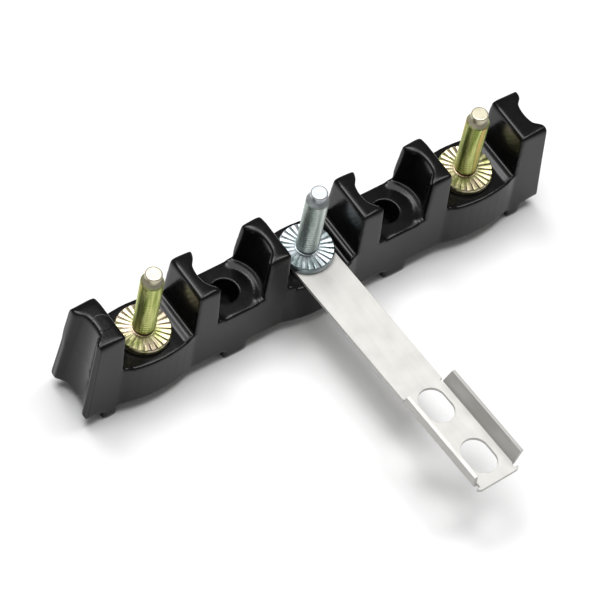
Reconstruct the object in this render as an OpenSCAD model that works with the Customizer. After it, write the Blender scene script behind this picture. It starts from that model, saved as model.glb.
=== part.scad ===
// Three-stud barrier terminal block for an appliance mains lead: a one-piece
// moulding with six barriers, three studs with serrated collars, and a
// bonding strap clamped under the middle stud.
//
// Frame: origin midway between the two mounting holes, on the plane that the
// feet stand on. +X runs along the block, the strap leaves towards -Y, +Z is up.

/* [Block] */
// Distance between neighbouring studs
stud_pitch = 40; // [36:1:50]
// Depth of a barrier at its top, front to back
barrier_depth = 11.2; // [9:0.1:14]
// Height of the barriers above the well floor
barrier_h = 12.2; // [9:0.2:16]
// Thickness of the base, from its underside to the well floor
base_t = 11.6; // [10.6:0.2:15]
// Height of the feet below the base
foot_h = 2.7; // [1.5:0.1:4]
// Moulding draft of the upright faces, in degrees
draft = 2.7; // [1:0.1:4]
// Edge rounding on the barrier tops
edge_r = 0.6; // [0.4:0.1:1.2]

/* [Stud wells] */
// Half-width of a well between its two flat barrier faces, at the barrier tops
well_half = 9.15; // [8.4:0.05:10.5]
// How far the rim of a well stands out beyond the straight base
bulge = 1.35; // [0.5:0.05:2]
// Half-length of that rounded rim
bulge_half = 8.8; // [7:0.1:9.5]
// Height of the ledges at the feet of the barriers
ledge_h = 0.4; // [0.3:0.1:1.2]
// Gap between the collar and each ledge
ledge_gap = 0.95; // [0.6:0.05:1.5]

/* [Mounting recesses] */
// Radius of the hollow barrier faces round a mounting hole, at the barrier tops
hollow_r = 8.25; // [7.6:0.05:9]
// Draft of the hollow faces, in degrees
hollow_draft = 1.2; // [0.5:0.1:3]
// Radius of the seat round a mounting hole
seat_r = 6.6; // [5.6:0.1:7]
// Width of the flats that blunt the tips beside a hollow face
tip_w = 0.6; // [0.4:0.1:1.2]
// Lean of the two outermost hollow faces, in degrees
end_draft = 3.6; // [2:0.2:6]
// How much further out the outermost hollows lie than a full pitch
end_extra = 1.4; // [0:0.1:3]
// Diameter of the mounting holes
mount_hole_d = 5.8; // [4.6:0.1:6.4]
// Diameter of the boss round each mounting hole, below the base
boss_d = 9.4; // [8.4:0.1:11]
// Width of the two foot ribs at the mounting holes
foot_w = 5.9; // [4:0.1:8]
// Width of the two foot ribs near the ends
end_foot_w = 3.5; // [2.5:0.1:4.5]

/* [Studs] */
// Major diameter of the stud thread
thread_d = 4.826; // [4.1:0.001:5.2]
// Height of the stud above its collar
stud_h = 19.25; // [14:0.25:24]
// Diameter of the serrated collar
collar_d = 11.7; // [10.4:0.1:13]
// Thickness of the collar
collar_t = 1.7; // [1.2:0.1:3]
// Diameter of the plain nose at the stud's tip
nose_d = 3.6; // [3:0.1:3.9]
// Length of the plain nose
nose_h = 2.2; // [1:0.1:3]
// Width of the square neck that keeps a stud from turning
neck_w = 5.2; // [4.9:0.1:5.6]
// Depth of the square neck below the collar
neck_h = 2.5; // [2:0.1:3.5]

/* [Bonding strap] */
// Thickness of the strap
strap_t = 0.8; // [0.5:0.1:1.2]
// Width of the strap
strap_w = 10.0; // [9:0.2:12]
// Length from the middle stud's axis to the free end
strap_len = 64.6; // [60:0.1:90]
// Angle by which the strap is swung about the middle stud
strap_yaw = 2.6; // [0:0.1:3]
// Distance from the free end to the outer slot's centre
slot_inset = 6.7; // [6:0.1:9]
// Distance between the two slots
slot_pitch = 14.0; // [12:0.5:16]
// Width of a slot
slot_w = 6.0; // [4.5:0.1:6.5]
// Length of a slot, end to end
slot_len = 8.6; // [7:0.1:10]
// Width over the folds at the flanged end
channel_w = 11.0; // [10:0.1:12.6]
// Height of the two flanges, from the strap's underside
flange_h = 5.1; // [3:0.1:8]
// Length of the two flanges
flange_len = 23.4; // [20:0.2:30]
// Flat lip left beyond the flanges at the free end
flange_lip = 1.2; // [0.8:0.1:3]
// Outward lean of the flanges, in degrees
flange_lean = 11; // [0:1:20]
// Inside radius of the folds
fold_r = 0.3; // [0.3:0.1:1]

/* [Tabs, washers and nuts] */
// Thickness of a tab terminal
tab_t = 0.8; // [0.8:0.1:1]
// Width of a tab's blade
tab_w = 6.35; // [4.8:0.05:6.6]
// Distance from the stud's axis to the blade's outer face
tab_reach = 8.5; // [8:0.1:9.5]
// Height of the blade's tip above the mounting plane
tab_tip_z = 0.4; // [0.2:0.1:2]
// Thickness of a lock washer
washer_t = 1.2; // [0.8:0.1:1.4]
// Outside diameter of a lock washer
washer_d = 8.6; // [8:0.1:9.4]
// Thickness of a hex nut
nut_t = 3.2; // [2.4:0.1:3.4]
// Width of a hex nut across its flats
nut_af = 9.525; // [8.7:0.005:10]

/* [Clearances] */
// Radial clearance round a stud in the block, strap and tab
shank_gap = 0.2; // [0.1:0.05:0.3]
// Radial clearance between a stud thread and the nut's bore
thread_gap = 0.04; // [0.02:0.01:0.08]
// Clearance round the square neck in the block
neck_gap = 0.1; // [0.05:0.05:0.2]
// Clearance round the nut's corners in the underside pocket
pocket_gap = 0.5; // [0.4:0.1:1]

/* [Hidden] */

$fn = 96;
over = 1;                                   // how far a cut runs past a face

stud_x = [-stud_pitch, 0, stud_pitch];      // left, centre, right
hole_x = [-stud_pitch / 2, stud_pitch / 2];

// Levels of the block
floor_z = foot_h + base_t;                  // floor of wells and recesses
top_z = floor_z + barrier_h;                // tops of the barriers
ledge_z = floor_z + ledge_h;
collar_z = floor_z + collar_t;              // serrated face of every collar
ledge_half = collar_d / 2 + ledge_gap;
thread_r = thread_d / 2;
shank_bore_r = thread_r + shank_gap;

// Stack below the block: tab, lock washer and nut hang from the pocket's roof
stack_h = tab_t + washer_t + nut_t;
stud_end_z = foot_h + 0.4;                  // stud tips stay above the base's underside
proud = 0.7;                                // thread that shows below the nut
roof_z = stud_end_z + proud + stack_h;
nut_corner_r = nut_af / 2 / cos(30);
pocket_r = nut_corner_r + pocket_gap;
blade_room = 2.0;                           // room beside a blade for its receptacle
pocket_len = tab_reach + blade_room;
pocket_w = tab_w + 2;

// Half-depth of the block's drafted faces at a height
function half_depth(z) = barrier_depth / 2 + (top_z - z) * tan(draft);

// ---------------------------------------------------------------- moulding

// Cross-section of the block, seen along X: drafted faces and rounded top edges
module bar_section() {
    r = edge_r;
    lift = r * (1 - sin(draft)) / cos(draft);   // face to centre of the rounding
    difference() {
        polygon([[-half_depth(0), 0], [half_depth(0), 0],
                 [half_depth(top_z), top_z], [-half_depth(top_z), top_z]]);
        for (side = [-1, 1])
            translate([side * (half_depth(top_z) - lift), top_z - r])
                difference() {
                    translate([side * 2 * r, 2 * r]) square(4 * r, center = true);
                    circle(r);
                }
    }
}

// Outline of the block seen from the front: base, feet and the room above
module bar_outline() {
    reach = 1.5 * stud_pitch + end_extra + over;
    translate([-reach, foot_h]) square([2 * reach, top_z - foot_h]);
    for (x = hole_x)
        translate([x - foot_w / 2, 0]) square([foot_w, foot_h + over]);
    for (side = [-1, 1])
        translate([side * end_foot_x - end_foot_w / 2, 0])
            square([end_foot_w, foot_h + over]);
}
end_foot_x = stud_pitch + 10.5;

module across_x(length) {
    translate([-length / 2, 0, 0]) rotate([90, 0, 90]) linear_extrude(length) children();
}

module across_y(depth) {
    translate([0, depth / 2, 0]) rotate([90, 0, 0]) linear_extrude(depth) children();
}

// Rounded rim of a well: two flat cones whose overlap is a drafted lens
module well_rim() {
    r = (bulge_half * bulge_half + bulge * bulge) / (2 * bulge);
    spread = ledge_z - foot_h;
    offset_y = r - bulge - half_depth(floor_z);
    intersection_for (side = [-1, 1])
        translate([0, side * offset_y, foot_h])
            cylinder(h = spread,
                     r1 = r + base_t * tan(draft),
                     r2 = r - ledge_h * tan(draft), $fn = 240);
}

// One well seen from the front: flat leaning faces, ledges and a seat for the
// collar. sink lowers the seat for what lies between floor and collar.
module well_section(sink) {
    foot_half = well_half - barrier_h * tan(draft);
    room = over + edge_r;
    difference() {
        union() {
            polygon([[-foot_half - ledge_h * -tan(draft), ledge_z],
                     [foot_half + ledge_h * tan(draft), ledge_z],
                     [well_half, top_z], [well_half + room * tan(draft), top_z + room],
                     [-well_half - room * tan(draft), top_z + room], [-well_half, top_z]]);
            translate([-ledge_half, floor_z - sink])
                square([2 * ledge_half, ledge_h + sink + 0.01]);
            for (side = [-1, 1])
                translate([side * (well_half - 0.01), top_z])
                    square([2 * edge_r, 2 * edge_r], center = true);
        }
        for (side = [-1, 1])
            translate([side * (well_half + edge_r * (1 + sin(draft)) / cos(draft) - edge_r * tan(draft)),
                       top_z - edge_r])
                circle(edge_r);
    }
}

// Space round a mounting hole: a hollow with hardly any draft down to the
// ledges, and a round seat between them that runs out through both faces
module mount_recess() {
    tall = top_z - ledge_z;
    low_r = hollow_r - tall * tan(hollow_draft);
    seat_run = 4.3;
    top_half = tip_half(hollow_r, top_z);
    low_half = tip_half(low_r, ledge_z);
    grow = over * (top_half - low_half) / tall;
    across_y(4 * barrier_depth)
        polygon([[-low_half, ledge_z], [low_half, ledge_z],
                 [top_half + grow, top_z + over], [-top_half - grow, top_z + over]]);
    translate([0, 0, ledge_z])
        cylinder(h = tall + over, r1 = low_r, r2 = hollow_r + over * tan(hollow_draft));
    translate([0, 0, floor_z]) cylinder(h = ledge_h + over, r = seat_r);
    translate([-seat_run, -barrier_depth, floor_z])
        cube([2 * seat_run, 2 * barrier_depth, ledge_h + over]);
    hollow_edge();
}

// Half-width at which the blunting flats beside a hollow stand
function tip_half(r, z) = sqrt(r * r - pow(half_depth(z) - tip_w, 2));

// Cut that blunts the tips of an outermost barrier
module end_tips() {
    lean_out = top_z * tan(end_draft);
    top_half = tip_half(hollow_r, top_z);
    low_half = tip_half(hollow_r, 0);
    across_y(4 * barrier_depth)
        polygon([[-top_half, top_z], [lean_out - low_half, 0], [lean_out - low_half, -over],
                 [stud_pitch, -over], [stud_pitch, top_z + 2 * over], [-top_half, top_z + 2 * over]]);
}

// The outermost hollow: a cylinder that leans, and is on its axis at the tops
module hollow(lean) {
    translate([0, 0, top_z]) rotate([0, lean, 0])
        translate([0, 0, -2 * top_z]) cylinder(h = 3 * top_z, r = hollow_r);
}

// Broken top edge of a hollow face: a cone that starts well inside it
module hollow_edge() {
    c = edge_r * 0.6;
    inside = 1.5;
    translate([0, 0, top_z - c - inside])
        cylinder(h = c + inside + over, r1 = hollow_r - inside, r2 = hollow_r + c + over);
}

// Underside pocket for one stud's nut, washer and tab
module stud_pocket() {
    translate([0, 0, -over]) cylinder(h = roof_z + over, r = pocket_r);
    translate([0, -pocket_w / 2, -over]) cube([pocket_len, pocket_w, roof_z + over]);
}

// Bore and square recess for one stud. sink is as for the well.
module stud_bore(sink) {
    side = neck_w + 2 * neck_gap;
    deep = neck_h + neck_gap - sink;
    translate([0, 0, roof_z - over]) cylinder(h = base_t, r = shank_bore_r);
    translate([-side / 2, -side / 2, floor_z - sink - deep]) cube([side, side, deep + over]);
}

module terminal_block() {
    color([0.07, 0.07, 0.075]) difference() {
        union() {
            intersection() {
                across_x(4 * stud_pitch) bar_section();
                across_y(2 * stud_pitch) bar_outline();
            }
            for (x = stud_x) translate([x, 0, 0]) well_rim();
            for (x = hole_x) translate([x, 0, 0]) cylinder(h = foot_h + over, d = boss_d);
        }
        for (i = [0:2]) {
            sink = i == 1 ? strap_t : 0;
            translate([stud_x[i], 0, 0]) {
                across_y(4 * barrier_depth) well_section(sink);
                stud_pocket();
                stud_bore(sink);
            }
        }
        for (x = hole_x) translate([x, 0, 0]) {
            mount_recess();
            translate([0, 0, -over]) cylinder(h = floor_z + 2 * over, d = mount_hole_d);
        }
        for (side = [-1, 1])
            translate([side * (1.5 * stud_pitch + end_extra), 0, 0]) {
                hollow(-side * end_draft);
                hollow_edge();
                scale([side, 1, 1]) end_tips();
            }
    }
}

// ------------------------------------------------------------------- studs

// Half-section of the turned part of a stud, collar face at height 0
module stud_section() {
    relief_r = thread_r - 0.35;
    relief_h = 0.8;
    chamfer = thread_r - nose_d / 2;
    shoulder = stud_h - nose_h;
    rim_bevel = 0.3;
    polygon([[0, stud_end_z - collar_z], [thread_r - 0.4, stud_end_z - collar_z],
             [thread_r, stud_end_z - collar_z + 0.4], [thread_r, -collar_t],
             [collar_d / 2 - rim_bevel, -collar_t], [collar_d / 2, rim_bevel - collar_t],
             [collar_d / 2, -rim_bevel], [collar_d / 2 - rim_bevel, 0],
             [relief_r, 0], [relief_r, relief_h], [thread_r, relief_h + 0.35],
             [thread_r, shoulder - chamfer], [nose_d / 2, shoulder],
             [nose_d / 2, stud_h - 0.3], [nose_d / 2 - 0.3, stud_h], [0, stud_h]]);
}

module stud() {
    translate([0, 0, collar_z]) {
        rotate_extrude() stud_section();
        translate([-neck_w / 2, -neck_w / 2, -collar_t - neck_h])
            cube([neck_w, neck_w, neck_h + 0.01]);
    }
}

module left_stud() {
    color([0.80, 0.74, 0.42]) translate([stud_x[0], 0, 0]) stud();
}

module centre_stud() {
    color([0.76, 0.80, 0.84]) translate([stud_x[1], 0, 0]) stud();
}

module right_stud() {
    color([0.80, 0.74, 0.42]) translate([stud_x[2], 0, 0]) stud();
}

// ------------------------------------------------------------------- strap

// The strap is drawn along -Y from the middle stud, then swung by its yaw.

module slot(y) {
    run = slot_len - slot_w;
    for (end = [-1, 1]) translate([0, y + end * run / 2]) circle(d = slot_w);
    translate([-slot_w / 2, y - run / 2]) square([slot_w, run]);
}

// Strip standing on the X axis, its two far corners rounded
module tongue(width, length, r) {
    half = width / 2;
    translate([-half, 0]) square([width, length - r]);
    translate([r - half, 0]) square([width - 2 * r, length]);
    for (side = [-1, 1]) translate([side * (half - r), length - r]) circle(r);
}

flange_end = flange_lip - strap_len;
flange_start = flange_end + flange_len;
fold_out = fold_r + strap_t;                // outside radius of a fold
fold_x = channel_w / 2 - fold_out;          // where a fold leaves the flat sheet

// Outline of the flat sheet, notched where the folds take over
module sheet_outline() {
    near_relief = 0.6;
    far_relief = 0.4;
    lip_w = channel_w - 0.5;
    lip_from = flange_end + 4;
    difference() {
        union() {
            circle(strap_w / 2);
            translate([-strap_w / 2, lip_from]) square([strap_w, -lip_from]);
            translate([0, lip_from + 1]) rotate(180)
                tongue(lip_w, strap_len + lip_from + 1, 1.0);
        }
        for (side = [-1, 1])
            translate([side * (fold_x + fold_out),
                       (flange_start + flange_end + near_relief - far_relief) / 2])
                square([2 * fold_out, flange_len + near_relief + far_relief], center = true);
    }
}

// Section of the flanged end, seen along the strap: floor, folds and flanges
module channel_section() {
    rise = (flange_h - fold_out) / cos(flange_lean) + strap_t * tan(flange_lean);
    up = [sin(flange_lean), cos(flange_lean)];
    bend = [for (i = [0:8]) -90 + i * (90 - flange_lean) / 8];
    outer = [for (a = bend) [fold_x, fold_out] + fold_out * [cos(a), sin(a)]];
    inner = [for (a = bend) [fold_x, fold_out] + fold_r * [cos(a), sin(a)]];
    last = len(bend) - 1;
    polygon(concat([[0, 0]], outer, [outer[last] + rise * up, inner[last] + rise * up],
                   [for (i = [last:-1:0]) inner[i]], [[0, strap_t]]));
}

// Side view of the flanges: ends a little raked, sharp corners, level top
module flange_outline() {
    rake = 0.9;
    polygon([[-flange_start - over, -over], [-flange_start - over, fold_out - 0.2],
             [-flange_start + 0.3, fold_out + 0.5], [rake - flange_start, flange_h],
             [-flange_end, flange_h], [-flange_end - 0.4, fold_out], [-flange_end - 0.4, -over]]);
}

module flanged_end() {
    intersection() {
        translate([0, flange_start, 0]) rotate([90, 0, 0]) linear_extrude(flange_len)
            union() {
                channel_section();
                mirror([1, 0]) channel_section();
            }
        translate([-strap_w, 0, 0]) rotate([90, 0, -90]) mirror([0, 0, 1])
            linear_extrude(2 * strap_w) flange_outline();
    }
}

module bonding_strap() {
    color([0.80, 0.79, 0.76])
        rotate([0, 0, strap_yaw]) translate([0, 0, floor_z - strap_t])
            difference() {
                union() {
                    linear_extrude(strap_t) sheet_outline();
                    flanged_end();
                }
                translate([0, 0, -over]) linear_extrude(strap_t + 2 * over) {
                    circle(neck_w / sqrt(2) + neck_gap);
                    slot(-strap_len + slot_inset);
                    slot(-strap_len + slot_inset + slot_pitch);
                }
            }
}

// ------------------------------------------------- tabs, washers and nuts

// Side view of a tab: level eye, bend and upright blade
module tab_section() {
    inner = 0.6;
    outer = inner + tab_t;
    translate([0, roof_z - tab_t]) square([tab_reach - outer, tab_t]);
    translate([tab_reach - outer, roof_z - outer]) intersection() {
        difference() { circle(outer); circle(inner); }
        square(2 * outer);
    }
    translate([tab_reach - tab_t, tab_tip_z]) square([tab_t, roof_z - outer - tab_tip_z]);
}

// Blade seen along X: chamfered tip and a latch hole
module blade_outline() {
    tip = 1.2;
    half = tab_w / 2;
    difference() {
        polygon([[-half, roof_z + over], [-half, tab_tip_z + tip], [tip - half, tab_tip_z],
                 [half - tip, tab_tip_z], [half, tab_tip_z + tip], [half, roof_z + over]]);
        translate([0, tab_tip_z + 3.2]) circle(d = 1.7);
    }
}

module tab() {
    eye_r = washer_d / 2 + 0.2;
    difference() {
        union() {
            intersection() {
                across_y(2 * tab_w) tab_section();
                rotate([90, 0, 90]) linear_extrude(2 * tab_reach) blade_outline();
            }
            translate([0, 0, roof_z - tab_t]) cylinder(h = tab_t, r = eye_r);
        }
        translate([0, 0, roof_z - 2 * tab_t]) cylinder(h = 3 * tab_t, r = shank_bore_r);
    }
}

module left_tab() {
    color([0.78, 0.70, 0.40]) translate([stud_x[0], 0, 0]) tab();
}

module centre_tab() {
    color([0.78, 0.70, 0.40]) translate([stud_x[1], 0, 0]) tab();
}

module right_tab() {
    color([0.78, 0.70, 0.40]) translate([stud_x[2], 0, 0]) tab();
}

// Spring lock washer, split by a slanted cut
module lock_washer() {
    split = 0.6;
    top = roof_z - tab_t;
    translate([0, 0, top - washer_t]) difference() {
        cylinder(h = washer_t, d = washer_d);
        translate([0, 0, -over]) cylinder(h = washer_t + 2 * over, r = shank_bore_r);
        translate([0, washer_d / 2, washer_t / 2]) rotate([0, 25, 0])
            cube([split, washer_d, 4 * washer_t], center = true);
    }
}

module left_lock_washer() {
    color([0.70, 0.71, 0.72]) translate([stud_x[0], 0, 0]) lock_washer();
}

module centre_lock_washer() {
    color([0.70, 0.71, 0.72]) translate([stud_x[1], 0, 0]) lock_washer();
}

module right_lock_washer() {
    color([0.70, 0.71, 0.72]) translate([stud_x[2], 0, 0]) lock_washer();
}

// Hex nut with chamfered corners
module nut() {
    low_z = roof_z - tab_t - washer_t - nut_t;
    corner = nut_corner_r - nut_af / 2;
    translate([0, 0, low_z]) difference() {
        intersection() {
            cylinder(h = nut_t, r = nut_corner_r, $fn = 6);
            rotate_extrude() polygon([[0, 0], [nut_af / 2, 0], [nut_corner_r + 0.01, corner * 0.6],
                                      [nut_corner_r + 0.01, nut_t - corner * 0.6],
                                      [nut_af / 2, nut_t], [0, nut_t]]);
        }
        translate([0, 0, -over]) cylinder(h = nut_t + 2 * over, r = thread_r + thread_gap);
    }
}

module left_nut() {
    color([0.70, 0.71, 0.72]) translate([stud_x[0], 0, 0]) nut();
}

module centre_nut() {
    color([0.70, 0.71, 0.72]) translate([stud_x[1], 0, 0]) nut();
}

module right_nut() {
    color([0.70, 0.71, 0.72]) translate([stud_x[2], 0, 0]) nut();
}

terminal_block();
left_stud();
centre_stud();
right_stud();
bonding_strap();
left_tab();
centre_tab();
right_tab();
left_lock_washer();
centre_lock_washer();
right_lock_washer();
left_nut();
centre_nut();
right_nut();
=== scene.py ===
import math

import bpy
from mathutils import Matrix, Vector


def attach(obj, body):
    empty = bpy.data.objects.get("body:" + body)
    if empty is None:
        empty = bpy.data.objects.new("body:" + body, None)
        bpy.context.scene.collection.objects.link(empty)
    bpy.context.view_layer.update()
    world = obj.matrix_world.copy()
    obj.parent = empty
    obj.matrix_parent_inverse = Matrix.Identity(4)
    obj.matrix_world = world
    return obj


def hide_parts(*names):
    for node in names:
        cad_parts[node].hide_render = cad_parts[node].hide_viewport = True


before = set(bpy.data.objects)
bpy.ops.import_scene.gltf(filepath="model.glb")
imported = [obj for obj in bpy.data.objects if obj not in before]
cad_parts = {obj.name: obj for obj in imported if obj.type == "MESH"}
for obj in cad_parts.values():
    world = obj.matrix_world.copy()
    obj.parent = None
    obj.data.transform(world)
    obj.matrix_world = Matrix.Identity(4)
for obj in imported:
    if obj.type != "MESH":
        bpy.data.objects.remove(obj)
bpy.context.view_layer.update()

MM = 0.001
TOUCH = 0.01        # how near counts as the same place, in mm

# ---------------------------- sizes shared with the part's source, in mm and degrees
STUD_X = {"left": -40.0, "centre": 0.0, "right": 40.0}
HOLLOW_R = 8.25
BASE_TOP = 14.3
BLOCK_TOP = 26.5
BLOCK_HALF = 5.6
DRAFT = 2.7
END_DRAFT = 3.6
LEDGE_H = 0.4
SEAT_R = 6.6
WELL_HALF = 9.15
LEDGE_HALF = 6.8

COLLAR_FACE = 16.0
COLLAR_R = 5.85
COLLAR_T = 1.7
THREAD_R = 2.413
STUD_H = 19.25
STUD_LOW = 3.1
NOSE_R = 1.8
NOSE_H = 2.2
NECK_W = 5.2
NECK_H = 2.5

STRAP_T = 0.8
STRAP_W = 10.0
STRAP_LEN = 64.6
STRAP_YAW = 2.6
CHANNEL_W = 11.0
LIP_W = 10.5
FLANGE_FROM = 40.0
FLANGE_TO = 63.4
FLANGE_H = 5.1
FLANGE_LEAN = 11.0
FLANGE_RAKE = 0.9
FOLD_IN = 0.3
NEAR_RELIEF = 0.6
FAR_RELIEF = 0.4
SLOT_W = 6.0
SLOT_LEN = 8.6
SLOT_AT = (43.9, 57.9)
EYE_HOLE_R = 3.78

# -------------------------------------------- sizes of the finer detail, in mm
# Softened edges of the moulding: grid, number of triangles, rounds of smoothing, where
# they act, and their weights
VOXEL = 0.15
BLOCK_TRIANGLES = 190000
EDGE_ROUNDS = 46
BACK_ROUNDS = 80
TIP_ROUNDS = 105
FOOT_ROUNDS = 70
STEP_ROUNDS = 62
FOOT_SOFT = 3.4
FOOT_FADE = 0.8
HOLE_RIM_R = 4.2
STEP_HALF = 0.75
STEP_RISE = 0.32
SMOOTH_FACTOR = 0.7
RIM_WEIGHT = 0.25
EDGE_WEIGHT = 0.85
STEP_WEIGHT = 0.8
# Middles of the end hollows and the two mounting recesses. The end ones lie 1.4 mm
# further in than the part's own: the blunt tips were fitted about these places.
HOLLOW_X = (-60.0, -20.0, 20.0, 60.0)
# Thin upright edges of the hollows: how far they reach, and how blunt they end
TIP_AREA = 3.2
TIP_FADE = 2.2
TIP_FROM = 0.8
TIP_RISE = 1.2
TIP_REACH = 1.0
TIP_BLUNT = 1.05
END_REACH = (0.6, 2.1)
# Walls of the wells and backs of the barriers, which stand a little fuller
WALL_AREA = 1.5
WALL_REACH = 0.4
LEFT_WALL_SHARE = 0.4
BACK_AREA = 2.0
BACK_FROM = 1.0
BACK_RISE = 3.0
BACK_GROWTH = 0.38
# Mark of a mould's pin on the left end
PIN_MARK = (-51.39, -0.31, 26.5)
PIN_MARK_R = 1.94
PIN_MARK_SOFT = 0.12
# Thread, pilot nose, serrations and neck. THREAD_CREST and THREAD_FLANK are shares of
# the pitch, RIB_CUT are shares of RIB_DEPTH.
THREAD_PITCH = 0.794
THREAD_DEPTH = 0.12
THREAD_RUNOUT = 0.7
THREAD_CREST = 0.10
THREAD_FLANK = 0.28
THREAD_FROM = 1.0
THREAD_STOP = 0.6
END_BEVEL = 0.4
ROWS_ABOVE = 7
ROWS_BELOW = 5
NOSE_GROOVE_R = 1.5
RIBS = 24
RIB_STEPS = 5
RIB_CUT = (1.0, 0.45, 0.2, 0.0, 0.3)
RIB_DEPTH = 0.17
RIB_FROM = 2.45
RIB_TO = 5.58
RIB_RUN = 2.4
NECK_SINK = 0.05
NECK_BEVEL = 0.25
# Strap: how quickly its width changes, its corners and its softened edges
WIDTH_STEP = 0.05
TIP_CORNER = 0.9
STRAP_EDGE = 0.2

# ------------------------------------------------------------- camera and lights
# Azimuth, elevation and roll in degrees, then moves in metres from a point that
# lies CAMERA_LOOK mm above the middle of the floor
CAMERA_TURN = (-45.581, 55.377, 13.474)
CAMERA_AWAY = 1.0482
CAMERA_ASIDE = 0.001212
CAMERA_LIFT = -0.011243
CAMERA_LOOK = 16.5
CAMERA_LENS = 309.53
ROOM_LIGHT = 0.22
# Each lamp's name, its place and width in metres, and its power in watts
LIGHTS = (("overhead", (-0.05, 0.18, 1.0), 0.92, 9.8),
          ("back glint", (0.0, 0.43, 0.98), 0.34, 2.2),
          ("right glint", (0.43, 0.0, 0.98), 0.34, 2.2))


# ------------------------------------------------------------- modelling helpers
def all_off():
    if bpy.context.object and bpy.context.object.mode != "OBJECT":
        bpy.ops.object.mode_set(mode="OBJECT")
    bpy.ops.object.select_all(action="DESELECT")


def choose(obj):
    """Makes one object the only selected one."""
    all_off()
    obj.select_set(True)
    bpy.context.view_layer.objects.active = obj


def edit(obj):
    choose(obj)
    bpy.ops.object.mode_set(mode="EDIT")
    bpy.ops.mesh.select_mode(type="VERT")
    bpy.ops.mesh.select_all(action="DESELECT")


def edit_whole(obj):
    edit(obj)
    bpy.ops.mesh.select_all(action="SELECT")


def pick(obj, test, what="VERT"):
    """In edit mode: selects the vertices, edges or faces whose middle passes the test, in mm."""
    bpy.ops.mesh.select_mode(type=what)
    bpy.ops.mesh.select_all(action="DESELECT")
    bpy.ops.object.mode_set(mode="OBJECT")
    mesh = obj.data
    for v in mesh.vertices:
        v.select = False
    for e in mesh.edges:
        e.select = False
    for p in mesh.polygons:
        p.select = False
    if what == "VERT":
        for v in mesh.vertices:
            v.select = test(v.co / MM)
    elif what == "EDGE":
        for e in mesh.edges:
            a, b = (mesh.vertices[i].co / MM for i in e.vertices)
            e.select = test((a + b) / 2, b - a)
    else:
        for p in mesh.polygons:
            p.select = test(p.center / MM, p.normal)
    bpy.ops.object.mode_set(mode="EDIT")


def object_mode():
    bpy.ops.object.mode_set(mode="OBJECT")


def clean(obj, merge=0.0002):
    """Merges doubles and turns the faces outwards."""
    edit_whole(obj)
    bpy.ops.mesh.remove_doubles(threshold=merge * MM)
    bpy.ops.mesh.normals_make_consistent(inside=False)
    object_mode()


def drop_slivers(obj):
    """Takes out faces and edges without any size."""
    edit_whole(obj)
    bpy.ops.mesh.remove_doubles(threshold=TOUCH * MM)
    bpy.ops.mesh.dissolve_degenerate(threshold=0.001 * MM)
    object_mode()


def apply_modifier(obj, kind, **settings):
    choose(obj)
    modifier = obj.modifiers.new(kind.lower(), kind)
    for key, value in settings.items():
        setattr(modifier, key, value)
    bpy.ops.object.modifier_apply(modifier=modifier.name)


def smooth(obj, angle):
    choose(obj)
    bpy.ops.object.shade_smooth_by_angle(angle=math.radians(angle))


def deliver(obj, node, material):
    """Names the finished piece, gives it its material and puts it in its CAD node's place."""
    obj.name = node.replace("_", "-") + "-piece"
    obj.data.name = obj.name
    obj.data.materials.clear()
    obj.data.materials.append(material)
    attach(obj, "root")
    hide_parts(node)


# --------------------------------------------------------------------- materials
def new_material(name):
    material = bpy.data.materials.new(name)
    material.use_nodes = True
    tree = material.node_tree
    shader = tree.nodes["Principled BSDF"]
    place = tree.nodes.new("ShaderNodeTexCoord").outputs["Object"]
    return material, tree, shader, place


def noise(tree, place, scale, detail, rough=0.55, stretch=(1, 1, 1), turn=(0, 0, 0)):
    mapping = tree.nodes.new("ShaderNodeMapping")
    mapping.inputs["Scale"].default_value = stretch
    mapping.inputs["Rotation"].default_value = [math.radians(a) for a in turn]
    tree.links.new(place, mapping.inputs["Vector"])
    node = tree.nodes.new("ShaderNodeTexNoise")
    node.inputs["Scale"].default_value = scale
    node.inputs["Detail"].default_value = detail
    node.inputs["Roughness"].default_value = rough
    tree.links.new(mapping.outputs["Vector"], node.inputs["Vector"])
    return node.outputs["Fac"]


def ramp(tree, value, stops):
    """Colour ramp from (position, colour or grey) stops."""
    node = tree.nodes.new("ShaderNodeValToRGB")
    elements = node.color_ramp.elements
    while len(elements) < len(stops):
        elements.new(0.5)
    for element, (position, colour) in zip(elements, stops):
        element.position = position
        if not hasattr(colour, "__len__"):
            colour = (colour,) * 3
        element.color = (*colour, 1)
    tree.links.new(value, node.inputs["Fac"])
    return node.outputs["Color"]


def spread(tree, value, low, high):
    """Maps 0.3..0.7 of a noise to low..high."""
    node = tree.nodes.new("ShaderNodeMapRange")
    node.inputs["From Min"].default_value = 0.3
    node.inputs["From Max"].default_value = 0.7
    node.inputs["To Min"].default_value = low
    node.inputs["To Max"].default_value = high
    tree.links.new(value, node.inputs["Value"])
    return node.outputs["Result"]


def bump(tree, shader, value, depth, after=None):
    """Relief of a depth in mm, on top of an earlier one where there is one."""
    node = tree.nodes.new("ShaderNodeBump")
    node.inputs["Distance"].default_value = depth * MM
    node.inputs["Strength"].default_value = 1.0
    tree.links.new(value, node.inputs["Height"])
    if after is not None:
        tree.links.new(after, node.inputs["Normal"])
    tree.links.new(node.outputs["Normal"], shader.inputs["Normal"])
    return node.outputs["Normal"]


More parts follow.
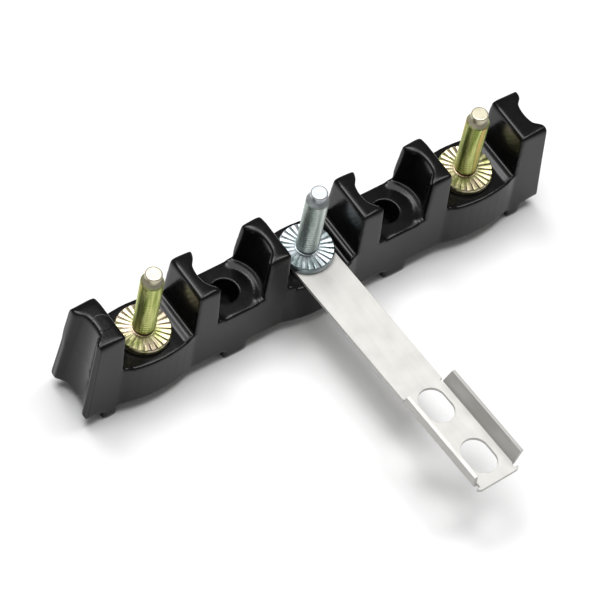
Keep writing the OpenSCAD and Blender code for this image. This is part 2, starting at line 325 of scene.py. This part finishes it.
def thermoset():
    """Gloss black phenolic: faint flow in the gloss and a very fine orange peel."""
    material, tree, shader, place = new_material("thermoset")
    stops = [(0.35, (0.0040, 0.0039, 0.0040)), (0.7, (0.0070, 0.0067, 0.0068))]
    colour = ramp(tree, noise(tree, place, 260, 5), stops)
    tree.links.new(colour, shader.inputs["Base Color"])
    rough = spread(tree, noise(tree, place, 420, 6), 0.14, 0.20)
    tree.links.new(rough, shader.inputs["Roughness"])
    shader.inputs["IOR"].default_value = 1.28
    peel = bump(tree, shader, noise(tree, place, 1500, 2), 0.006)
    bump(tree, shader, ejector_mark(tree, place), 0.035, after=peel)
    return material


def ejector_mark(tree, place):
    """The shallow round mark of a mould's pin on the top of the left end."""
    away = tree.nodes.new("ShaderNodeVectorMath")
    away.operation = "DISTANCE"
    away.inputs[1].default_value = [v * MM for v in PIN_MARK]
    tree.links.new(place, away.inputs[0])
    node = tree.nodes.new("ShaderNodeMapRange")
    node.interpolation_type = "SMOOTHSTEP"
    node.inputs["From Min"].default_value = (PIN_MARK_R - PIN_MARK_SOFT) * MM
    node.inputs["From Max"].default_value = (PIN_MARK_R + PIN_MARK_SOFT) * MM
    tree.links.new(away.outputs["Value"], node.inputs["Value"])
    return node.outputs["Result"]


def above(tree, place, level, run):
    """0 below a level in mm, 1 above it, with a soft change over the run."""
    split = tree.nodes.new("ShaderNodeSeparateXYZ")
    tree.links.new(place, split.inputs["Vector"])
    node = tree.nodes.new("ShaderNodeMapRange")
    node.inputs["From Min"].default_value = (level - run / 2) * MM
    node.inputs["From Max"].default_value = (level + run / 2) * MM
    tree.links.new(split.outputs["Z"], node.inputs["Value"])
    return node.outputs["Result"]


def blend(tree, amount, first, second):
    node = tree.nodes.new("ShaderNodeMix")
    node.data_type = "RGBA"
    tree.links.new(amount, node.inputs[0])
    tree.links.new(first, node.inputs[6])
    tree.links.new(second, node.inputs[7])
    return node.outputs[2]


def zinc(name, collar, foot, shank, nose, rough_low, rough_high):
    """Zinc plate: a thin passivate film, paler on the flats; the rolled thread's upright colour
    streaks are partly the film's uneven tone and partly painted reflection streaks.
    """
    material, tree, shader, place = new_material(name)
    face, shank_low, nose_low = (COLLAR_FACE + 0.02, COLLAR_FACE + 0.8,
                                 COLLAR_FACE + STUD_H - NOSE_H - 0.35)
    broad = noise(tree, place, 300, 3, 0.5)
    # Upright colour streaks on the shank: partly the film's uneven tone, partly painted reflection
    # streaks of a shiny cylinder.
    streaks_and_reflection = noise(tree, place, 620, 3, 0.5, (1, 1, 0.07))
    colour = blend(tree, above(tree, place, face, 0.05),
                   ramp(tree, broad, collar), ramp(tree, broad, foot))
    colour = blend(tree, above(tree, place, shank_low, 0.5), colour,
                   ramp(tree, streaks_and_reflection, shank))
    colour = blend(tree, above(tree, place, nose_low, 0.3), colour,
                   ramp(tree, broad, nose))
    tree.links.new(colour, shader.inputs["Base Color"])
    flat = spread(tree, noise(tree, place, 900, 4), rough_low, rough_high)
    rolled = spread(tree, noise(tree, place, 900, 4), rough_low + 0.12, rough_high + 0.12)
    node = tree.nodes.new("ShaderNodeMix")
    tree.links.new(above(tree, place, shank_low, 0.5), node.inputs[0])
    tree.links.new(flat, node.inputs[2])
    tree.links.new(rolled, node.inputs[3])
    tree.links.new(node.outputs[0], shader.inputs["Roughness"])
    shader.inputs["Metallic"].default_value = 1.0
    bump(tree, shader, noise(tree, place, 2500, 3), 0.004)
    return material


def hardware_zinc():
    """Plain zinc plate of nuts and washers."""
    material, tree, shader, place = new_material("nut zinc")
    tree.links.new(ramp(tree, noise(tree, place, 300, 3, 0.5),
                        [(0.30, (0.50, 0.52, 0.54)), (0.70, (0.66, 0.68, 0.70))]),
                   shader.inputs["Base Color"])
    rough = spread(tree, noise(tree, place, 900, 4), 0.30, 0.42)
    tree.links.new(rough, shader.inputs["Roughness"])
    shader.inputs["Metallic"].default_value = 1.0
    bump(tree, shader, noise(tree, place, 2500, 3), 0.004)
    return material


def strip_metal():
    """Matt plated strip with a fine grain along its length."""
    material, tree, shader, place = new_material("plated strip")
    turn = (0, 0, -STRAP_YAW)
    grain = noise(tree, place, 900, 4, 0.6, (1, 0.06, 1), turn)
    tree.links.new(ramp(tree, grain, [(0.3, (0.50, 0.492, 0.47)), (0.7, (0.53, 0.522, 0.50))]),
                   shader.inputs["Base Color"])
    rough = spread(tree, noise(tree, place, 300, 4), 0.52, 0.62)
    tree.links.new(rough, shader.inputs["Roughness"])
    shader.inputs["Metallic"].default_value = 0.6
    bump(tree, shader, grain, 0.003)
    return material


def brass():
    material, tree, shader, place = new_material("tab brass")
    stops = [(0.3, (0.60, 0.43, 0.17)), (0.7, (0.74, 0.57, 0.27))]
    tree.links.new(ramp(tree, noise(tree, place, 350, 4), stops), shader.inputs["Base Color"])
    rough = spread(tree, noise(tree, place, 800, 4), 0.28, 0.42)
    tree.links.new(rough, shader.inputs["Roughness"])
    shader.inputs["Metallic"].default_value = 1.0
    bump(tree, shader, noise(tree, place, 1800, 3), 0.004)
    return material


def floor_paper():
    material, tree, shader, place = new_material("pale floor")
    tree.links.new(ramp(tree, noise(tree, place, 60, 2), [(0.3, 0.86), (0.7, 0.87)]),
                   shader.inputs["Base Color"])
    shader.inputs["Roughness"].default_value = 0.9
    shader.inputs["Specular IOR Level"].default_value = 0.1
    return material


# ------------------------------------------------------------------------- studs
def stud_profile():
    """Right-hand outline of a stud as (radius, height) in mm, from the lower tip up."""
    shoulder = COLLAR_FACE + STUD_H - NOSE_H
    tip = COLLAR_FACE + STUD_H
    low = COLLAR_FACE - COLLAR_T
    return [(0, STUD_LOW), (THREAD_R - END_BEVEL, STUD_LOW), (THREAD_R, STUD_LOW + END_BEVEL),
            (THREAD_R, low), (COLLAR_R - 0.3, low), (COLLAR_R - 0.08, low + 0.1),
            (COLLAR_R, low + 0.35), (COLLAR_R, COLLAR_FACE - 0.5),
            (COLLAR_R - 0.05, COLLAR_FACE - 0.3), (COLLAR_R - 0.14, COLLAR_FACE - 0.12),
            (RIB_TO, COLLAR_FACE), (RIB_FROM, COLLAR_FACE),
            (2.3, COLLAR_FACE), (2.15, COLLAR_FACE + 0.1), (2.15, COLLAR_FACE + 0.6),
            (THREAD_R, COLLAR_FACE + THREAD_FROM),
            (THREAD_R, shoulder - THREAD_STOP), (THREAD_R - 0.12, shoulder - 0.45),
            (NOSE_GROOVE_R + 0.1, shoulder), (NOSE_GROOVE_R, shoulder + 0.12),
            (NOSE_GROOVE_R, shoulder + 0.75), (NOSE_R - 0.06, shoulder + 1.0),
            (NOSE_R, shoulder + 1.15), (NOSE_R, tip - 0.3),
            (NOSE_R - 0.08, tip - 0.1), (NOSE_R - 0.25, tip), (NOSE_R - 0.4, tip), (0, tip)]


def outline(profile):
    """Draws an outline by pulling a vertex from point to point."""
    bpy.ops.mesh.primitive_plane_add(size=MM, location=(0, 0, 0))
    obj = bpy.context.object
    bpy.ops.object.mode_set(mode="EDIT")
    bpy.ops.mesh.select_all(action="SELECT")
    bpy.ops.mesh.merge(type="CENTER")
    here = Vector((0, 0, 0))
    for k, (r, z) in enumerate(profile):
        there = Vector((r, 0, z)) * MM
        if k == 0:
            bpy.ops.transform.translate(value=there - here)
        else:
            bpy.ops.mesh.extrude_vertices_move(TRANSFORM_OT_translate={"value": there - here})
        here = there
    object_mode()
    return obj


def rows(obj, low, high, count):
    """Splits the one long straight edge between two heights into rows."""
    edit(obj)
    pick(obj, lambda m, d: low < m.z < high and d.length > 0.5 * (high - low), "EDGE")
    bpy.ops.mesh.subdivide(number_cuts=count)
    object_mode()


def thread_dent(height, angle, low, high):
    """How far the thread groove lies inside the major radius at a place, in mm."""
    turn = (height / THREAD_PITCH - angle / (2 * math.pi)) % 1.0
    groove = min(1.0, max(0.0, (abs(turn - 0.5) - THREAD_CREST) / THREAD_FLANK))
    ends = min(1.0, (height - low) / THREAD_RUNOUT, (high - height) / THREAD_RUNOUT)
    return THREAD_DEPTH * groove * max(0.0, ends)


def make_stud(side, material):
    x = STUD_X[side]
    obj = outline(stud_profile())
    up_low, up_high = COLLAR_FACE + THREAD_FROM, COLLAR_FACE + STUD_H - NOSE_H - THREAD_STOP
    down_low, down_high = STUD_LOW + END_BEVEL, COLLAR_FACE - COLLAR_T
    rows(obj, up_low, up_high, int((up_high - up_low) / THREAD_PITCH * ROWS_ABOVE))
    rows(obj, down_low, down_high, int((down_high - down_low) / THREAD_PITCH * ROWS_BELOW))
    edit(obj)
    pick(obj, lambda m, d: abs(m.z - COLLAR_FACE) < TOUCH and abs(d.x) > 2, "EDGE")
    bpy.ops.mesh.subdivide(number_cuts=9)
    object_mode()
    edit_whole(obj)
    bpy.ops.mesh.spin(steps=RIBS * RIB_STEPS, angle=2 * math.pi,
                      center=(0, 0, 0), axis=(0, 0, 1))
    object_mode()
    clean(obj, 0.002)
    for v in obj.data.vertices:
        r, z = math.hypot(v.co.x, v.co.y) / MM, v.co.z / MM
        angle = math.atan2(v.co.y, v.co.x)
        dent, drop = 0.0, 0.0
        if abs(r - THREAD_R) < TOUCH:
            if up_low <= z <= up_high:
                dent = thread_dent(z, angle, up_low, up_high)
            elif down_low <= z <= down_high - NECK_H:
                dent = thread_dent(z, angle, down_low, down_high - NECK_H)
        if r > RIB_FROM and COLLAR_FACE - 0.15 < z < COLLAR_FACE + 0.05:
            step = round(angle / (2 * math.pi) * RIBS * RIB_STEPS) % RIB_STEPS
            drop = RIB_DEPTH * RIB_CUT[step] * min((r - RIB_FROM) / RIB_RUN, 1.0)
        if dent:
            k = (r - dent) / r
            v.co.x, v.co.y = v.co.x * k, v.co.y * k
        if drop:
            v.co.z -= drop * MM
    neck(obj)
    for v in obj.data.vertices:
        v.co.x += x * MM
    smooth(obj, 38)
    deliver(obj, side + "_stud", material)


def neck(stud):
    """Square neck below the collar, made one body with the stud."""
    top = COLLAR_FACE - COLLAR_T
    all_off()
    bpy.ops.mesh.primitive_cube_add(size=1, location=(0, 0, (top - NECK_H / 2 + NECK_SINK) * MM))
    cube = bpy.context.object
    cube.scale = (NECK_W * MM, NECK_W * MM, (NECK_H + 2 * NECK_SINK) * MM)
    bpy.ops.object.transform_apply(location=True, rotation=True, scale=True)
    apply_modifier(cube, "BEVEL", width=NECK_BEVEL * MM, segments=3)
    apply_modifier(stud, "BOOLEAN", operation="UNION", object=cube, solver="EXACT")
    bpy.data.objects.remove(cube)


# ------------------------------------------------------------------------- strap
def pull(value):
    bpy.ops.mesh.extrude_region_move(TRANSFORM_OT_translate={"value": [v * MM for v in value]})


def across(factor):
    bpy.ops.transform.resize(value=(factor, 1, 1), center_override=(0, 0, 0))


def slot_cutter(y):
    bpy.ops.mesh.primitive_cylinder_add(vertices=64, radius=SLOT_W / 2 * MM, depth=6 * MM,
                                        location=(0, y * MM, BASE_TOP * MM))
    obj = bpy.context.object
    bpy.ops.object.transform_apply(location=True)
    edit(obj)
    run = (SLOT_LEN - SLOT_W) / 2
    pick(obj, lambda p: p.y > y + TOUCH)
    bpy.ops.transform.translate(value=(0, run * MM, 0))
    pick(obj, lambda p: p.y < y - TOUCH)
    bpy.ops.transform.translate(value=(0, -run * MM, 0))
    object_mode()
    return obj


def cut_with(obj, cutter):
    apply_modifier(obj, "BOOLEAN", operation="DIFFERENCE", object=cutter, solver="EXACT")
    bpy.data.objects.remove(cutter)


def make_strap(material):
    half, low = STRAP_W / 2, BASE_TOP - STRAP_T
    fold_out = FOLD_IN + STRAP_T
    fold_x = CHANNEL_W / 2 - fold_out
    near, far = NEAR_RELIEF, FAR_RELIEF
    flange_top = low + FLANGE_H - 0.6
    all_off()
    bpy.ops.mesh.primitive_cylinder_add(vertices=96, radius=half * MM, depth=STRAP_T * MM,
                                        location=(0, 0, (low + STRAP_T / 2) * MM))
    strap = bpy.context.object
    bpy.ops.object.transform_apply(location=True)
    edit_whole(strap)
    bpy.ops.mesh.bisect(plane_co=(0, 0, 0), plane_no=(0, 1, 0), clear_inner=True, use_fill=True)
    pick(strap, lambda c, n: n.y < -0.9 and abs(c.y) < TOUCH, "FACE")
    pull((0, near - FLANGE_FROM, 0))
    pull((0, -WIDTH_STEP, 0))
    across(fold_x / half)
    pull((0, WIDTH_STEP - near, 0))
    pull((0, FLANGE_FROM - FLANGE_TO + far, 0))
    pull((0, -2 * far, 0))
    pull((0, -WIDTH_STEP, 0))
    across(LIP_W / 2 / fold_x)
    pull((0, WIDTH_STEP + FLANGE_TO - STRAP_LEN + far, 0))
    # tip corners
    pick(strap, lambda m, d: abs(m.y + STRAP_LEN) < TOUCH and abs(d.z) > 0.5, "EDGE")
    bpy.ops.mesh.bevel(offset=TIP_CORNER * MM, segments=6, affect="EDGES")
    # flanges: the sheet's edge turned up round the fold, then pulled straight
    lean = math.radians(FLANGE_LEAN)
    rise = (FLANGE_H - fold_out) / math.cos(lean)
    for side in (1, -1):
        pick(strap, lambda c, n: n.x * side > 0.9 and abs(c.x - side * fold_x) < 0.02
             and -FLANGE_TO + far < c.y < -FLANGE_FROM, "FACE")
        bpy.ops.mesh.spin(steps=8, angle=side * (math.radians(90) - lean),
                          center=(side * fold_x * MM, 0, (low + fold_out) * MM), axis=(0, 1, 0))
        pull((side * rise * math.sin(lean), 0, rise * math.cos(lean)))
    # raked ends
    pick(strap, lambda p: p.z > flange_top and abs(p.y + FLANGE_FROM) < TOUCH)
    bpy.ops.transform.translate(value=(0, -FLANGE_RAKE * MM, 0))
    pick(strap, lambda p: p.z > flange_top and abs(p.y + FLANGE_TO - far) < TOUCH)
    bpy.ops.transform.translate(value=(0, -far * MM, 0))
    object_mode()
    drop_slivers(strap)
    clean(strap)
    for y in SLOT_AT:
        cut_with(strap, slot_cutter(-y))
    all_off()
    bpy.ops.mesh.primitive_cylinder_add(vertices=64, radius=EYE_HOLE_R * MM, depth=6 * MM,
                                        location=(0, 0, BASE_TOP * MM))
    cut_with(strap, bpy.context.object)
    drop_slivers(strap)
    apply_modifier(strap, "BEVEL", width=STRAP_EDGE * MM, segments=3, limit_method="ANGLE",
                   angle_limit=math.radians(40))
    strap.rotation_euler.z = math.radians(STRAP_YAW)
    choose(strap)
    bpy.ops.object.transform_apply(rotation=True)
    drop_slivers(strap)
    smooth(strap, 50)
    apply_modifier(strap, "WEIGHTED_NORMAL", weight=90, keep_sharp=True)
    deliver(strap, "bonding_strap", material)


# ------------------------------------------------------------------------- block
def depth_at(z):
    """Half the block's depth at a height: its faces lean in towards the top."""
    return BLOCK_HALF + (BLOCK_TOP - z) * math.tan(math.radians(DRAFT))


def blunt_tip(p):
    """How near a point is to a hollow's thin upright edges, from 0 to 1, and its move in x.

    The edges reach further into the hollow than two plain walls would, and end blunt.
    """
    half_depth = depth_at(p.z)
    for x in HOLLOW_X:
        at_end = abs(x) > STUD_X["right"]
        lean = (BLOCK_TOP - p.z) * math.tan(math.radians(END_DRAFT)) if at_end else 0.0
        along = p.x - x - math.copysign(lean, x)
        away = math.hypot(math.hypot(along, p.y) - HOLLOW_R, abs(p.y) - half_depth)
        near = min(1.0, (TIP_AREA - away) / TIP_FADE)
        if not at_end:
            near = min(near, (p.z - BASE_TOP - TIP_FROM) / TIP_RISE)
        if near > 0:
            reach = TIP_REACH
            if at_end:
                reach = END_REACH[0] + (END_REACH[1] - END_REACH[0]) * p.z / BLOCK_TOP
            near = near * near * (3 - 2 * near)
            edge = math.sqrt(max(0.0, HOLLOW_R ** 2 - half_depth ** 2))
            left = max(abs(along) - near * reach, edge - reach + TIP_BLUNT * near)
            return near, math.copysign(left, along) - along
    return 0.0, 0.0


def wall_shift(p):
    """How far a barrier's wall stands further into the well beside it, in mm."""
    if p.z < BASE_TOP:
        return 0.0
    for x in STUD_X.values():
        along = p.x - x
        near = WALL_AREA - abs(abs(along) - WELL_HALF)
        if near > 0:
            up = (p.z - BASE_TOP) / (BLOCK_TOP - BASE_TOP)
            share = 1.0 if along > 0 else LEFT_WALL_SHARE
            return -math.copysign(share * WALL_REACH * up * min(1.0, near), along)
    return 0.0


def back_weight(p):
    """How near a point above the base is to the back of a barrier, from 0 to 1."""
    return max(0.0, min(1.0, p.y - depth_at(p.z) + BACK_AREA,
                        (p.z - BASE_TOP - BACK_FROM) / BACK_RISE))


def by_hole(p):
    """At the rim of a mounting hole."""
    return any(math.hypot(p.x - x, p.y) < HOLE_RIM_R for x in HOLLOW_X)


def on_step(p):
    """On the low step round a collar's seat or a mounting hole's seat."""
    if abs(p.z - BASE_TOP - LEDGE_H / 2) > STEP_RISE:
        return False
    for x in STUD_X.values():
        if abs(abs(p.x - x) - LEDGE_HALF) < STEP_HALF:
            return True
    return any(abs(math.hypot(p.x - x, p.y) - SEAT_R) < STEP_HALF for x in HOLLOW_X)


def soften(block, name, weights, rounds):
    """Smooths the part of the mesh that the weights pick out."""
    group = block.vertex_groups.new(name=name)
    for index, weight in weights:
        group.add([index], weight, "REPLACE")
    apply_modifier(block, "SMOOTH", factor=SMOOTH_FACTOR, iterations=rounds, vertex_group=name)
    block.vertex_groups.clear()


def make_block(material):
    """The moulding: the CAD form with all its edges softened, as a mould leaves them."""
    all_off()
    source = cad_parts["terminal_block"]
    block = source.copy()
    block.data = source.data.copy()
    for key in list(block.keys()):
        del block[key]
    block.parent = None
    block.matrix_world = Matrix.Identity(4)
    bpy.context.scene.collection.objects.link(block)
    clean(block, 0.002)
    apply_modifier(block, "REMESH", mode="VOXEL", voxel_size=VOXEL * MM, adaptivity=0.0)
    edges, tips, backs, feet, steps = [], [], [], [], []
    for v in block.data.vertices:
        p = v.co / MM
        near, move = blunt_tip(p)
        edges.append((v.index, RIM_WEIGHT if by_hole(p) else EDGE_WEIGHT))
        if near > 0:
            tips.append((v.index, near))
            v.co.x += move * MM
        elif p.z < FOOT_SOFT:
            feet.append((v.index, min(1.0, (FOOT_SOFT - p.z) / FOOT_FADE)))
        elif on_step(p):
            steps.append((v.index, STEP_WEIGHT))
        v.co.x += wall_shift(p) * MM
        back = back_weight(p)
        if back > 0:
            backs.append((v.index, back))
            v.co.y += BACK_GROWTH * back * MM
    soften(block, "edges", edges, EDGE_ROUNDS)
    soften(block, "backs", backs, BACK_ROUNDS)
    soften(block, "tips", tips, TIP_ROUNDS)
    soften(block, "feet", feet, FOOT_ROUNDS)
    soften(block, "steps", steps, STEP_ROUNDS)
    apply_modifier(block, "DECIMATE", ratio=BLOCK_TRIANGLES / (2 * len(block.data.polygons)))
    smooth(block, 60)
    deliver(block, "terminal_block", material)


# ------------------------------------------------------------------ floor, lights
def lay_floor(material):
    all_off()
    bpy.ops.mesh.primitive_plane_add(size=6, location=(0, 0, 0))
    floor = bpy.context.object
    floor.name = "floor"
    floor.data.materials.append(material)


def soft_disk(name, place, width, power):
    """A round lamp that faces the middle of the floor."""
    light = bpy.data.lights.new(name, "AREA")
    light.shape = "DISK"
    light.size = width
    light.energy = power
    obj = bpy.data.objects.new(name, light)
    bpy.context.scene.collection.objects.link(obj)
    obj.location = place
    obj.rotation_euler = (Vector((0, 0, 0)) - Vector(place)).to_track_quat("-Z", "Y").to_euler()


def light_it():
    """A round soft box overhead and two small ones beside it, in a dim white room."""
    world = bpy.data.worlds.new("studio")
    bpy.context.scene.world = world
    world.use_nodes = True
    world.node_tree.nodes["Background"].inputs["Color"].default_value = (1, 1, 1, 1)
    world.node_tree.nodes["Background"].inputs["Strength"].default_value = ROOM_LIGHT
    for lamp in LIGHTS:
        soft_disk(*lamp)
    bpy.context.scene.view_settings.view_transform = "Standard"


# ------------------------------------------------------------------------ camera
def set_camera():
    azimuth, elevation, roll = (math.radians(a) for a in CAMERA_TURN)
    back = Vector((math.sin(azimuth) * math.cos(elevation),
                   -math.cos(azimuth) * math.cos(elevation), math.sin(elevation)))
    right = Vector((math.cos(azimuth), math.sin(azimuth), 0))
    up = back.cross(right)
    x_axis = math.cos(roll) * right + math.sin(roll) * up
    y_axis = back.cross(x_axis)
    place = (CAMERA_ASIDE * right + CAMERA_LIFT * up + CAMERA_AWAY * back
             + Vector((0, 0, CAMERA_LOOK * MM)))
    camera = bpy.data.objects.new("camera", bpy.data.cameras.new("camera"))
    camera.data.sensor_width = 36
    camera.data.lens = CAMERA_LENS
    camera.data.clip_start, camera.data.clip_end = 0.05, 20
    camera.matrix_world = Matrix((
        (x_axis.x, y_axis.x, back.x, place.x),
        (x_axis.y, y_axis.y, back.y, place.y),
        (x_axis.z, y_axis.z, back.z, place.z),
        (0, 0, 0, 1)))
    bpy.context.scene.collection.objects.link(camera)
    bpy.context.scene.camera = camera


set_camera()
light_it()
lay_floor(floor_paper())

# The shank ramp's pale and dark bands, laid out as upright streaks, are partly painted reflection.
yellow = zinc("yellow zinc",
              [(0.30, (0.28, 0.30, 0.11)), (0.46, (0.50, 0.47, 0.26)), (0.62, (0.60, 0.50, 0.37))],
              [(0.35, (0.16, 0.08, 0.05)), (0.65, (0.36, 0.20, 0.14))],
              [(0.30, (0.15, 0.20, 0.04)), (0.42, (0.33, 0.39, 0.10)), (0.51, (0.64, 0.66, 0.27)),
               (0.60, (0.26, 0.33, 0.08)), (0.70, (0.56, 0.42, 0.14))],
              [(0.35, (0.46, 0.43, 0.30)), (0.65, (0.60, 0.56, 0.44))], 0.27, 0.38)
# Here too the shank ramp's upright pale and dark streaks are partly painted reflection.
clear = zinc("clear zinc",
             [(0.30, (0.26, 0.33, 0.33)), (0.50, (0.40, 0.46, 0.48)), (0.68, (0.52, 0.55, 0.58))],
             [(0.35, (0.16, 0.20, 0.21)), (0.65, (0.32, 0.36, 0.38))],
             [(0.32, (0.24, 0.30, 0.27)), (0.48, (0.44, 0.50, 0.47)), (0.66, (0.68, 0.73, 0.71))],
             [(0.35, (0.42, 0.45, 0.47)), (0.65, (0.56, 0.58, 0.60))], 0.27, 0.38)
hardware = hardware_zinc()
tab_brass = brass()

make_block(thermoset())
make_strap(strip_metal())
for side in ("left", "centre", "right"):
    make_stud(side, clear if side == "centre" else yellow)
    for part, finish in (("tab", tab_brass), ("lock_washer", hardware), ("nut", hardware)):
        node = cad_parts[f"{side}_{part}"]
        node.data.materials.clear()
        node.data.materials.append(finish)
